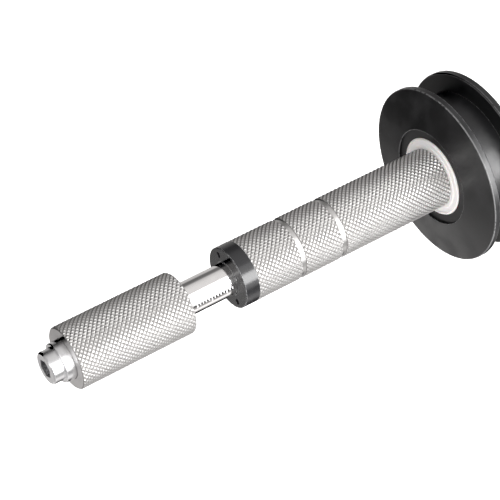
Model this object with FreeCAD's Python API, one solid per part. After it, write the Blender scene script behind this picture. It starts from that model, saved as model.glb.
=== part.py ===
import FreeCAD, Part
import math
import os

# Spring-loaded dummy hub (chain keeper) that stands in for a bicycle's rear wheel.
# Units are millimetres. Every part is turned about the axle, which is the X axis.
# The origin is on the axle, midway between the two dropouts. +X points to the
# drive side, where the chain roller is, and +Z points up.

os.makedirs("parts", exist_ok=True)

# ---- driving sizes -----------------------------------------------------------
SPACING = 148.0          # between the two dropout contact faces
BODY_R = 9.5             # over the knurl, end cap head and right tip flange
ROD_R = 5.0              # polished slide rod
SLEEVE_L = 37.0          # grip sleeve
ROD_GAP = 16.7           # bare rod between the sleeve and the end cap
EXTENSION = 3.5          # slide travel outwards from the stored length
CAP_HEAD_L = 4.8         # end cap head
CHAIN_W = 10.6           # chain groove width
CHAIN_FLOOR_R = 22.0     # chain groove floor
FLANGE_R = 28.0          # roller flange rim
RIM_T = 2.2              # flange thickness at the rim
CONE_RISE = 1.67         # how far each flange face falls back from hub to rim
RECESS_R = 15.4          # recess in each flange around the white bush
BUSH_FLANGE_R = 12.5     # white bush flange
BUSH_FLANGE_T = 2.0
NOSE_R = 4.9             # fits a 10 mm slot and the bore of a threaded dropout
NOSE_L = 3.5
PILOT_R = 5.95           # fits a plain 12 mm axle hole
PILOT_L = 3.0
BOSS_R = 5.7             # part of the left tip inside the sleeve

# ---- fits --------------------------------------------------------------------
RUN_FIT = 0.05           # radial, between parts that move on each other
SEAT_FIT = 0.02          # radial, between parts pressed or located together
THREAD_FIT = 0.05        # radial, plain cylinders stand in for the threads
END_FLOAT = 0.1          # axial, at each end of the roller
HOLE_FIT = 0.15          # radial, clearance holes

# ---- secondary sizes ---------------------------------------------------------
EDGE = 0.4               # end chamfers of the knurled parts
FINE_EDGE = 0.2
THREAD_LEAD = 0.5        # chamfer at the end of a thread
SCREW_LEAD = 0.3         # same, on the small screws
BORE_R = 7.0             # barrel bore
THREAD_STEP = 0.5        # barrel threads: larger at the cap, smaller at the stub axle
CAP_THREAD_R = BORE_R + THREAD_STEP
CAP_THREAD_L = 7.5
CAP_RELIEF_L = 0.5       # barrel thread beyond the cap's inner end
CAP_LIP_L = 1.0
SEAL_SECTION_R = 0.6
SEAL_GROOVE_W = 1.8
SEAL_GROOVE_DEPTH = 1.3
SEAL_LAND_L = 0.8
CAP_BUSH_WALL = 0.95
CAP_BUSH_SET_BACK = 0.2  # from the cap's inner end
PIN_HOLE_R = 0.8
PIN_CIRCLE_R = 0.5 * (BODY_R + ROD_R) + 0.1
PIN_HOLE_DEPTH = 3.0
PIN_ANGLE_DEG = 40.0     # of the first pin hole, from +Z towards +Y
BARREL_GROOVE_W = 1.8
BARREL_GROOVE_FLOOR_W = 1.2
BARREL_GROOVE_DEPTH = 0.5
BARREL_GROOVE_FIRST = 15.8
BARREL_GROOVE_STEP = 14.5
TIP_FLANGE_T = 1.9
TIP_BOSS_L = 4.0
TIP_THREAD_R = 2.95
TIP_HEX = 5.0
TIP_HEX_DEPTH = 4.0
LOCK_WASHER_T = 0.8
LOCK_WASHER_R = BOSS_R - 0.3
SLEEVE_WEB_T = 5.2
ROD_TAP_DEPTH = 12.0
TAP_SPARE = 1.5          # tapped length beyond the end of a tip's thread
BUMPER_T = 2.0
BUMPER_GAP = 0.4         # radial, from the barrel's bore
PISTON_L = 8.0
ROD_SPIGOT_R = 3.5
ROD_SPIGOT_SHORT = 0.2   # so that the screw clamps the piston and not the spigot
WEAR_RING_W = 4.0
WEAR_RING_T = 0.7
WEAR_RING_SPLIT = 1.0
PISTON_SCREW_R = 2.0
PISTON_SCREW_L = 14.0    # depth of its tapped hole
PISTON_SCREW_SPARE = 1.0
PISTON_HEAD_R = 3.5
PISTON_HEAD_T = 2.6
PISTON_HEAD_SINK = 0.4
PISTON_WEB_T = PISTON_L - PISTON_HEAD_T - PISTON_HEAD_SINK
PISTON_HEX = 2.5
PISTON_HEX_DEPTH = 1.4
THRUST_WASHER_T = 1.2
THRUST_WASHER_GAP = 0.1  # radial, from the barrel's bore
WIRE_R = 0.6
COIL_GAP = 0.4           # radial, from the barrel's bore
COIL_R = BORE_R - COIL_GAP - WIRE_R
COIL_PITCH = 3.65        # nominal, at the stored length
SEAT_FLANGE_T = 2.0
SEAT_PILOT_L = 5.5
SEAT_PILOT_GAP = 0.3     # radial, inside the coils
SEAT_PILOT_LEAD = 0.8
AXLE_R = 6.0             # roller journal
AXLE_THREAD_R = BORE_R - THREAD_STEP
AXLE_COLLAR_H = 1.0      # radial height over the thread
AXLE_COLLAR_R = AXLE_THREAD_R + AXLE_COLLAR_H
AXLE_COLLAR_L = 3.0
AXLE_THREAD_L = 9.3
AXLE_TAP_R = 4.0
AXLE_TAP_DEPTH = 13.0
BUSH_SINK = 0.17         # from the flange's inner edge to the bush's face
BUSH_PROUD = 0.5         # of the bush's flange over the recess floor
BUSH_GAP = 1.0           # between the two bushes' sleeves
BUSH_SLEEVE_R = 8.5
BUSH_EDGE = 0.35
SCREW_R = 1.5
SCREW_HEAD_R = 2.8
SCREW_HEAD_T = 1.6
SCREW_HEAD_LAND = 0.15
SCREW_SINK = 0.25
SCREW_HEX = 2.0
SCREW_HEX_DEPTH = 1.1
SCREW_END_WALL = 0.9     # from the screw's end to the inner flange's face
SCREW_TAP_SPARE = 0.4
SCREW_CIRCLE_R = 0.5 * (RECESS_R + CHAIN_FLOOR_R) - 0.2
SCREW_COUNT = 3

# ---- stations along the axle ---------------------------------------------------
LEFT = -SPACING / 2
RIGHT = SPACING / 2
SLEEVE_END = LEFT + SLEEVE_L
CAP_FACE = SLEEVE_END + ROD_GAP
BARREL_LEFT = CAP_FACE + CAP_HEAD_L
CAP_INNER = BARREL_LEFT + CAP_THREAD_L
AXLE_END = RIGHT - TIP_FLANGE_T
OUTER_BUSH_FACE = AXLE_END - END_FLOAT
HUB_HALF = CHAIN_W / 2 + RIM_T + CONE_RISE
ROLLER_X = OUTER_BUSH_FACE - (HUB_HALF - BUSH_SINK)
INNER_BUSH_FACE = 2 * ROLLER_X - OUTER_BUSH_FACE
BARREL_RIGHT = INNER_BUSH_FACE - END_FLOAT
AXLE_INNER = BARREL_RIGHT - AXLE_COLLAR_L - AXLE_THREAD_L
WEB_LEFT = LEFT + TIP_BOSS_L + LOCK_WASHER_T
ROD_LEFT = WEB_LEFT + SLEEVE_WEB_T
BUMPER_LEFT = CAP_INNER + EXTENSION
PISTON_LEFT = BUMPER_LEFT + BUMPER_T
PISTON_RIGHT = PISTON_LEFT + PISTON_L
SPRING_LEFT = PISTON_RIGHT + THRUST_WASHER_T
SPRING_RIGHT = AXLE_INNER - SEAT_FLANGE_T

X_AXIS = FreeCAD.Vector(1, 0, 0)
ORIGIN = FreeCAD.Vector(0, 0, 0)


def turned(points):
    """Solid of revolution about X from a closed list of (x, radius) points."""
    corners = [FreeCAD.Vector(x, r, 0) for x, r in points]
    face = Part.Face(Part.makePolygon(corners + corners[:1]))
    return face.revolve(ORIGIN, X_AXIS, 360)


def tube(x0, x1, outer, inner):
    """Plain ring or tube between two stations."""
    return turned([(x0, inner), (x0, outer), (x1, outer), (x1, inner)])


def rod(x0, x1, radius, y=0.0, z=0.0):
    """Plain cylinder along X."""
    return Part.makeCylinder(radius, x1 - x0, FreeCAD.Vector(x0, y, z), X_AXIS)


def hex_socket(x0, x1, across_flats):
    """Hexagonal prism along X, used to cut a key socket."""
    radius = across_flats / math.sqrt(3)
    corners = []
    for i in range(7):
        a = math.radians(60 * i)
        corners.append(FreeCAD.Vector(x0, radius * math.cos(a), radius * math.sin(a)))
    return Part.Face(Part.makePolygon(corners)).extrude(FreeCAD.Vector(x1 - x0, 0, 0))


def mirrored(shape, x):
    """Copy of a shape mirrored across the plane at station x."""
    return shape.mirror(FreeCAD.Vector(x, 0, 0), X_AXIS)


def save(name, shape):
    """Write one node as its own STEP file."""
    shape.exportStep(os.path.join("parts", name + ".step"))


# ---- grip assembly: everything that slides with the left hand ------------------
def grip_sleeve():
    """Knurled sleeve: rod socket on the right, web, tip counterbore on the left."""
    socket_r = ROD_R + SEAT_FIT
    web_r = TIP_THREAD_R + HOLE_FIT
    tip_r = BOSS_R + THREAD_FIT
    mouth_r = max(PILOT_R, tip_r) + FINE_EDGE
    return turned([
        (LEFT + mouth_r - tip_r, tip_r), (LEFT, mouth_r),
        (LEFT, BODY_R - EDGE), (LEFT + EDGE, BODY_R),
        (SLEEVE_END - EDGE, BODY_R), (SLEEVE_END, BODY_R - EDGE),
        (SLEEVE_END, socket_r + FINE_EDGE), (SLEEVE_END - FINE_EDGE, socket_r),
        (ROD_LEFT, socket_r), (ROD_LEFT, web_r), (WEB_LEFT, web_r), (WEB_LEFT, tip_r),
    ])


def left_tip():
    """Stepped tip that enters the left dropout, screwed into the end of the rod."""
    nose_end = LEFT - PILOT_L - NOSE_L
    boss_end = LEFT + TIP_BOSS_L
    thread_end = ROD_LEFT + ROD_TAP_DEPTH - TAP_SPARE
    body = turned([
        (nose_end, 0), (nose_end, NOSE_R - EDGE), (nose_end + EDGE, NOSE_R),
        (LEFT - PILOT_L, NOSE_R), (LEFT - PILOT_L, PILOT_R - FINE_EDGE),
        (LEFT - PILOT_L + FINE_EDGE, PILOT_R), (LEFT, PILOT_R),
        (LEFT, BOSS_R), (boss_end, BOSS_R),
        (boss_end, TIP_THREAD_R), (thread_end - THREAD_LEAD, TIP_THREAD_R),
        (thread_end, TIP_THREAD_R - THREAD_LEAD), (thread_end, 0),
    ])
    return body.cut(hex_socket(nose_end, nose_end + TIP_HEX_DEPTH, TIP_HEX))


def slide_rod():
    """Polished rod with a tapped left end and a spigot for the piston."""
    spigot_end = PISTON_LEFT + PISTON_WEB_T - ROD_SPIGOT_SHORT
    tap_r = TIP_THREAD_R + THREAD_FIT
    tap_end = ROD_LEFT + ROD_TAP_DEPTH
    screw_tap_end = PISTON_LEFT + PISTON_WEB_T - PISTON_SCREW_L
    body = turned([
        (ROD_LEFT, 0), (ROD_LEFT, ROD_R), (PISTON_LEFT, ROD_R),
        (PISTON_LEFT, ROD_SPIGOT_R), (spigot_end, ROD_SPIGOT_R), (spigot_end, 0),
    ])
    body = body.cut(rod(ROD_LEFT, tap_end, tap_r))
    return body.cut(rod(screw_tap_end, spigot_end, PISTON_SCREW_R))


def piston():
    """Guide piston on the rod's inner end, with a groove for the wear ring."""
    groove_r = BORE_R - RUN_FIT - WEAR_RING_T
    groove_x = PISTON_LEFT + 0.5 * (PISTON_L - WEAR_RING_W)
    web_x = PISTON_LEFT + PISTON_WEB_T
    outer = BORE_R - RUN_FIT
    head_r = PISTON_HEAD_R + HOLE_FIT
    return turned([
        (PISTON_LEFT, ROD_SPIGOT_R + SEAT_FIT), (PISTON_LEFT, outer),
        (groove_x, outer), (groove_x, groove_r),
        (groove_x + WEAR_RING_W, groove_r), (groove_x + WEAR_RING_W, outer),
        (PISTON_RIGHT, outer), (PISTON_RIGHT, head_r), (web_x, head_r),
        (web_x, ROD_SPIGOT_R + SEAT_FIT),
    ])


def wear_ring():
    """Split guide band in the piston groove."""
    inner = BORE_R - RUN_FIT - WEAR_RING_T + SEAT_FIT
    x0 = PISTON_LEFT + 0.5 * (PISTON_L - WEAR_RING_W) + SEAT_FIT
    x1 = x0 + WEAR_RING_W - 2 * SEAT_FIT
    band = tube(x0, x1, BORE_R - 0.5 * RUN_FIT, inner)
    half = 0.5 * WEAR_RING_SPLIT
    corner = FreeCAD.Vector(x0 - PISTON_L, -half, 0)
    slot = Part.makeBox(3 * PISTON_L, WEAR_RING_SPLIT, BODY_R, corner)
    return band.cut(slot)


def piston_screw():
    """Low-head screw that holds the piston on the rod's spigot."""
    under_head = PISTON_LEFT + PISTON_WEB_T
    shank_r = PISTON_SCREW_R - THREAD_FIT
    shank_end = under_head - PISTON_SCREW_L + PISTON_SCREW_SPARE
    head_end = under_head + PISTON_HEAD_T
    body = turned([
        (shank_end, 0), (shank_end, shank_r - SCREW_LEAD), (shank_end + SCREW_LEAD, shank_r),
        (under_head, shank_r), (under_head, PISTON_HEAD_R),
        (head_end - SCREW_LEAD, PISTON_HEAD_R), (head_end, PISTON_HEAD_R - SCREW_LEAD),
        (head_end, 0),
    ])
    return body.cut(hex_socket(head_end - PISTON_HEX_DEPTH, head_end, PISTON_HEX))


def thrust_washer():
    """Washer between the piston and the spring, so that turning the grip doesn't wind it."""
    outer = BORE_R - THRUST_WASHER_GAP
    return tube(PISTON_RIGHT, SPRING_LEFT, outer, PISTON_HEAD_R + HOLE_FIT)


# ---- barrel assembly -----------------------------------------------------------
def barrel():
    """Knurled tube with two smooth grooves, threaded inside at both ends."""
    outline = [(BARREL_LEFT, CAP_THREAD_R), (BARREL_LEFT, BODY_R)]
    for i in range(2):
        x = BARREL_LEFT + BARREL_GROOVE_FIRST + i * BARREL_GROOVE_STEP
        floor_r = BODY_R - BARREL_GROOVE_DEPTH
        outline += [
            (x - BARREL_GROOVE_W / 2, BODY_R), (x - BARREL_GROOVE_FLOOR_W / 2, floor_r),
            (x + BARREL_GROOVE_FLOOR_W / 2, floor_r), (x + BARREL_GROOVE_W / 2, BODY_R),
        ]
    collar_x = BARREL_RIGHT - AXLE_COLLAR_L
    outline += [
        (BARREL_RIGHT - FINE_EDGE, BODY_R), (BARREL_RIGHT, BODY_R - FINE_EDGE),
        (BARREL_RIGHT, AXLE_COLLAR_R), (collar_x, AXLE_COLLAR_R),
        (collar_x, AXLE_THREAD_R), (AXLE_INNER, AXLE_THREAD_R), (AXLE_INNER, BORE_R),
        (CAP_INNER + CAP_RELIEF_L, BORE_R), (CAP_INNER + CAP_RELIEF_L, CAP_THREAD_R),
    ]
    return turned(outline)


def end_cap():
    """Threaded cap that keeps the rod in, with two holes for a pin spanner."""
    lip_r = ROD_R + HOLE_FIT
    groove_x = CAP_FACE + CAP_LIP_L
    land_x = groove_x + SEAL_GROOVE_W
    bush_x = land_x + SEAL_LAND_L
    bush_r = ROD_R + RUN_FIT + CAP_BUSH_WALL + SEAT_FIT
    body = turned([
        (CAP_FACE, lip_r + FINE_EDGE), (CAP_FACE, BODY_R - FINE_EDGE),
        (CAP_FACE + FINE_EDGE, BODY_R), (BARREL_LEFT, BODY_R),
        (BARREL_LEFT, CAP_THREAD_R - THREAD_FIT), (CAP_INNER, CAP_THREAD_R - THREAD_FIT),
        (CAP_INNER, bush_r), (bush_x, bush_r), (bush_x, lip_r), (land_x, lip_r),
        (land_x, ROD_R + SEAL_GROOVE_DEPTH), (groove_x, ROD_R + SEAL_GROOVE_DEPTH),
        (groove_x, lip_r), (CAP_FACE + FINE_EDGE, lip_r),
    ])
    for i in range(2):
        a = math.radians(PIN_ANGLE_DEG + 180 * i)
        y = PIN_CIRCLE_R * math.sin(a)
        z = PIN_CIRCLE_R * math.cos(a)
        body = body.cut(rod(CAP_FACE, CAP_FACE + PIN_HOLE_DEPTH, PIN_HOLE_R, y, z))
    return body


def cap_bush():
    """Plain bush in the end cap that the rod slides in."""
    inner = ROD_R + RUN_FIT
    x0 = CAP_FACE + CAP_LIP_L + SEAL_GROOVE_W + SEAL_LAND_L
    return tube(x0, CAP_INNER - CAP_BUSH_SET_BACK, inner + CAP_BUSH_WALL, inner)


def wiper_ring():
    """O-ring in the end cap that wipes the rod."""
    centre_r = ROD_R + SEAT_FIT + SEAL_SECTION_R
    x = CAP_FACE + CAP_LIP_L + SEAL_GROOVE_W / 2
    return Part.makeTorus(centre_r, SEAL_SECTION_R, FreeCAD.Vector(x, 0, 0), X_AXIS)


def spring():
    """Compression spring with ground ends."""
    length = SPRING_RIGHT - SPRING_LEFT
    pitch = length / max(1, round(length / COIL_PITCH))
    helix = Part.makeHelix(pitch, length + pitch, COIL_R)
    circle = Part.makeCircle(WIRE_R, FreeCAD.Vector(COIL_R, 0, 0), FreeCAD.Vector(0, 1, 0))
    coil = Part.Wire(helix).makePipeShell([Part.Wire(circle)], True, True)
    coil.translate(FreeCAD.Vector(0, 0, -pitch / 2))
    coil = coil.common(Part.makeCylinder(BORE_R, length))
    coil.rotate(ORIGIN, FreeCAD.Vector(0, 1, 0), 90)
    coil.translate(FreeCAD.Vector(SPRING_LEFT, 0, 0))
    return coil


def spring_seat():
    """Flanged plug that centres the spring on the end of the stub axle."""
    pilot_r = COIL_R - WIRE_R - SEAT_PILOT_GAP
    pilot_x = SPRING_RIGHT - SEAT_PILOT_L
    return turned([
        (pilot_x, 0), (pilot_x, pilot_r - SEAT_PILOT_LEAD), (pilot_x + SEAT_PILOT_LEAD, pilot_r),
        (SPRING_RIGHT, pilot_r), (SPRING_RIGHT, BORE_R - RUN_FIT),
        (AXLE_INNER, BORE_R - RUN_FIT), (AXLE_INNER, 0),
    ])


def stub_axle():
    """Journal for the roller, screwed into the barrel up to its collar."""
    collar_x = BARREL_RIGHT - AXLE_COLLAR_L
    thread_r = AXLE_THREAD_R - THREAD_FIT
    body = turned([
        (AXLE_INNER, 0), (AXLE_INNER, thread_r - THREAD_LEAD), (AXLE_INNER + THREAD_LEAD, thread_r),
        (collar_x, thread_r), (collar_x, AXLE_COLLAR_R - SEAT_FIT),
        (BARREL_RIGHT, AXLE_COLLAR_R - SEAT_FIT), (BARREL_RIGHT, AXLE_R),
        (AXLE_END, AXLE_R), (AXLE_END, 0),
    ])
    return body.cut(rod(AXLE_END - AXLE_TAP_DEPTH, AXLE_END, AXLE_TAP_R))


def right_tip():
    """Flanged tip that enters the right dropout and closes the roller's axle."""
    thread_r = AXLE_TAP_R - THREAD_FIT
    thread_end = AXLE_END - AXLE_TAP_DEPTH + TAP_SPARE
    nose_end = RIGHT + PILOT_L + NOSE_L
    body = turned([
        (thread_end, 0), (thread_end, thread_r - THREAD_LEAD), (thread_end + THREAD_LEAD, thread_r),
        (AXLE_END, thread_r), (AXLE_END, BODY_R - FINE_EDGE),
        (AXLE_END + FINE_EDGE, BODY_R), (RIGHT - FINE_EDGE, BODY_R),
        (RIGHT, BODY_R - FINE_EDGE), (RIGHT, NOSE_R), (nose_end - EDGE, NOSE_R),
        (nose_end, NOSE_R - EDGE), (nose_end, 0),
    ])
    return body.cut(hex_socket(nose_end - TIP_HEX_DEPTH, nose_end, TIP_HEX))


# ---- chain roller --------------------------------------------------------------
def screw_places():
    """(y, z) centres of the roller screws."""
    places = []
    for i in range(SCREW_COUNT):
        a = math.radians(360.0 / SCREW_COUNT * i)
        places.append((SCREW_CIRCLE_R * math.sin(a), SCREW_CIRCLE_R * math.cos(a)))
    return places


def face_offset(radius):
    """Distance of a flange's conical face from the roller's middle plane."""
    return HUB_HALF - CONE_RISE * (radius - RECESS_R) / (FLANGE_R - RECESS_R)


def screw_top():
    """Station of the countersunk heads' top, just below the outer flange's face."""
    return ROLLER_X + face_offset(SCREW_CIRCLE_R + SCREW_HEAD_R) - SCREW_SINK


def screw_end():
    """Station of the screws' ends, inside the inner flange."""
    return ROLLER_X - face_offset(SCREW_CIRCLE_R) + SCREW_END_WALL


def flange_blank():
    """Outer (right) flange: flat inside, slightly conical outside."""
    inside = ROLLER_X + CHAIN_W / 2
    rim = inside + RIM_T
    hub = inside + RIM_T + CONE_RISE
    bore = RECESS_R
    return turned([
        (inside, bore), (inside, FLANGE_R - EDGE), (inside + EDGE, FLANGE_R),
        (rim - FINE_EDGE, FLANGE_R), (rim, FLANGE_R - FINE_EDGE), (hub, bore),
    ])


def outer_flange():
    """Flange on the dropout side, countersunk for the screws."""
    body = flange_blank()
    top = screw_top()
    outside = ROLLER_X + 2 * HUB_HALF
    for y, z in screw_places():
        through = rod(ROLLER_X, outside, SCREW_R + HOLE_FIT, y, z)
        cone = Part.makeCone(
            SCREW_R + HOLE_FIT, SCREW_HEAD_R + HOLE_FIT, SCREW_HEAD_T,
            FreeCAD.Vector(top - SCREW_HEAD_T, y, z), X_AXIS,
        )
        mouth = rod(top, outside, SCREW_HEAD_R + HOLE_FIT, y, z)
        body = body.cut(through).cut(cone).cut(mouth)
    return body


def inner_flange():
    """Flange on the barrel side, with blind tapped holes behind its face."""
    body = mirrored(flange_blank(), ROLLER_X)
    end = screw_end() - SCREW_TAP_SPARE
    for y, z in screw_places():
        body = body.cut(rod(end, ROLLER_X, SCREW_R + THREAD_FIT, y, z))
    return body


def chain_drum():
    """Floor of the chain groove, with a spigot into each flange and a seat for each bush."""
    half = CHAIN_W / 2
    seat = ROLLER_X - INNER_BUSH_FACE - BUSH_FLANGE_T
    face = ROLLER_X - INNER_BUSH_FACE - BUSH_PROUD
    seat_r = BUSH_FLANGE_R + RUN_FIT
    spigot_r = RECESS_R - SEAT_FIT
    x = ROLLER_X
    body = turned([
        (x - seat, BUSH_SLEEVE_R), (x - seat, seat_r), (x - face, seat_r),
        (x - face, spigot_r), (x - half, spigot_r),
        (x - half, CHAIN_FLOOR_R), (x + half, CHAIN_FLOOR_R), (x + half, spigot_r),
        (x + face, spigot_r), (x + face, seat_r), (x + seat, seat_r), (x + seat, BUSH_SLEEVE_R),
    ])
    for y, z in screw_places():
        body = body.cut(rod(x - half, x + half, SCREW_R + HOLE_FIT, y, z))
    return body


def flange_screws():
    """Countersunk screws that clamp both flanges to the drum, one solid each."""
    top = screw_top()
    tip = screw_end()
    solids = []
    for y, z in screw_places():
        screw = turned([
            (tip, 0), (tip, SCREW_R - SCREW_LEAD), (tip + SCREW_LEAD, SCREW_R),
            (top - SCREW_HEAD_T, SCREW_R), (top - SCREW_HEAD_LAND, SCREW_HEAD_R),
            (top, SCREW_HEAD_R), (top, 0),
        ])
        screw = screw.cut(hex_socket(top - SCREW_HEX_DEPTH, top, SCREW_HEX))
        screw.translate(FreeCAD.Vector(0, y, z))
        solids.append(screw)
    return Part.makeCompound(solids)


def inner_bush():
    """White flanged bush on the barrel side; its flange face is what shows."""
    x0 = INNER_BUSH_FACE
    x1 = x0 + BUSH_FLANGE_T
    x2 = ROLLER_X - 0.5 * BUSH_GAP
    bore = AXLE_R + RUN_FIT
    return turned([
        (x0, bore), (x0, BUSH_FLANGE_R - BUSH_EDGE), (x0 + BUSH_EDGE, BUSH_FLANGE_R),
        (x1, BUSH_FLANGE_R), (x1, BUSH_SLEEVE_R - SEAT_FIT),
        (x2, BUSH_SLEEVE_R - SEAT_FIT), (x2, bore),
    ])


save("grip_sleeve", grip_sleeve())
save("left_tip", left_tip())
save("tip_lock_washer", tube(LEFT + TIP_BOSS_L, WEB_LEFT, LOCK_WASHER_R, TIP_THREAD_R + HOLE_FIT))
save("slide_rod", slide_rod())
save("stop_bumper", tube(BUMPER_LEFT, PISTON_LEFT, BORE_R - BUMPER_GAP, ROD_R + SEAT_FIT))
save("piston", piston())
save("wear_ring", wear_ring())
save("piston_screw", piston_screw())
save("thrust_washer", thrust_washer())
save("barrel", barrel())
save("end_cap", end_cap())
save("cap_bush", cap_bush())
save("wiper_ring", wiper_ring())
save("spring", spring())
save("spring_seat", spring_seat())
save("stub_axle", stub_axle())
save("right_tip", right_tip())
save("inner_flange", inner_flange())
save("chain_drum", chain_drum())
save("outer_flange", outer_flange())
save("flange_screws", flange_screws())
save("inner_bush", inner_bush())
save("outer_bush", mirrored(inner_bush(), ROLLER_X))
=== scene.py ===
"""Looks of a spring-loaded dummy hub, which stands in for a bicycle's rear wheel.

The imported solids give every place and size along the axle, which is the X axis. Each sub-assembly
below is a class that builds the meshes of its pieces and dresses them. Sizes inside a class are in
millimetres, as on a workshop drawing, and meshes are in metres.
"""

import logging
import math
from collections.abc import Callable, Sequence
from dataclasses import dataclass, field
from enum import Enum

import bmesh
import bpy
from mathutils import Matrix, Vector


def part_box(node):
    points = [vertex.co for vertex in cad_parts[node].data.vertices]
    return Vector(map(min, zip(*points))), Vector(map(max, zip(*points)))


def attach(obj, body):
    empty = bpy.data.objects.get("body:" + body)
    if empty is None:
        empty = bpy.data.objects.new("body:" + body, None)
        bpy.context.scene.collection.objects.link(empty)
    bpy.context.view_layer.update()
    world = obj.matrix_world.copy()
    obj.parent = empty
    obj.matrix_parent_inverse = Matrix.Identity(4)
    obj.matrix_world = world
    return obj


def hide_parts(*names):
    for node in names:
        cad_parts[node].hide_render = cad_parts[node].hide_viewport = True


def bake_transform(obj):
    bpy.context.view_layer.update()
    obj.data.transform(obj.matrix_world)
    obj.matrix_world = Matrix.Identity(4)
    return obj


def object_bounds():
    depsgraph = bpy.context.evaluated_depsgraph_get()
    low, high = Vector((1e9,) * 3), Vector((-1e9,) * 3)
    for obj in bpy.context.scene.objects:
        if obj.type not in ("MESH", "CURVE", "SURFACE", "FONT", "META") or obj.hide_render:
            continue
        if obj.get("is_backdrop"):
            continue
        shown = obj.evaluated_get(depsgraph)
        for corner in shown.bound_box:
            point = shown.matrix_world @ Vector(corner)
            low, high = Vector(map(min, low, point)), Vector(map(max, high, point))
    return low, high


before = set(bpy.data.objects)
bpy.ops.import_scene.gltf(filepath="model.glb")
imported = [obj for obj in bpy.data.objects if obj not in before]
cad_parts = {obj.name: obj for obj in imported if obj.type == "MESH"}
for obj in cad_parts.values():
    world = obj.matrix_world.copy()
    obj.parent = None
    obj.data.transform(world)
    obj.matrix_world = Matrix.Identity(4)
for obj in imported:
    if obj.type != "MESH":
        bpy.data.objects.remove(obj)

LOG = logging.getLogger("dummy_hub")
MM = 0.001
# Marks rounded edges, which the finishes lighten for scuffing and, on black pieces, as a painted
# highlight.
WEAR_AND_HIGHLIGHT_LAYER = "edge"
WELD = 1e-6  # how far apart two vertices may lie and still be one, in metres
SHARP_ANGLE = math.radians(32.0)
TURNED_SEGMENTS = 192
CUTTER_REACH = 1.0  # how far outside a piece its cutters start
ROUNDING_STEPS = 5
ROUNDING_ROOM = 0.45  # the share of the shorter side that a rounding may take up
HOLDING_EDGE = 1.3  # where the edge beside a rounding lies, in roundings
HASH_FACTORS = (12.9898, 78.233, 43758.5453)

Socket = bpy.types.NodeSocket
Value = Socket | float | Sequence[float]
Station = tuple[float, float]
Colour = tuple[float, float, float]


class Slot(Enum):
    """Material slots of the record."""

    SILVER = "silver_aluminium"
    PLAIN = "plain_aluminium"
    BLACK_METAL = "black_aluminium"
    ROD = "polished_rod"
    STEEL = "turned_steel"
    SPRING = "spring_steel"
    BLACK_PLASTIC = "black_plastic"
    WHITE_PLASTIC = "white_plastic"
    GUIDE_PLASTIC = "guide_plastic"
    RUBBER = "black_rubber"


class Body(Enum):
    """Bodies that the pieces ride on."""

    BARREL = "barrel_assembly"
    FOLLOWER = "spring_follower"
    GRIP = "grip_assembly"
    ROLLER = "roller"


# ---- shader graphs ---------------------------------------------------------------------------


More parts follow.
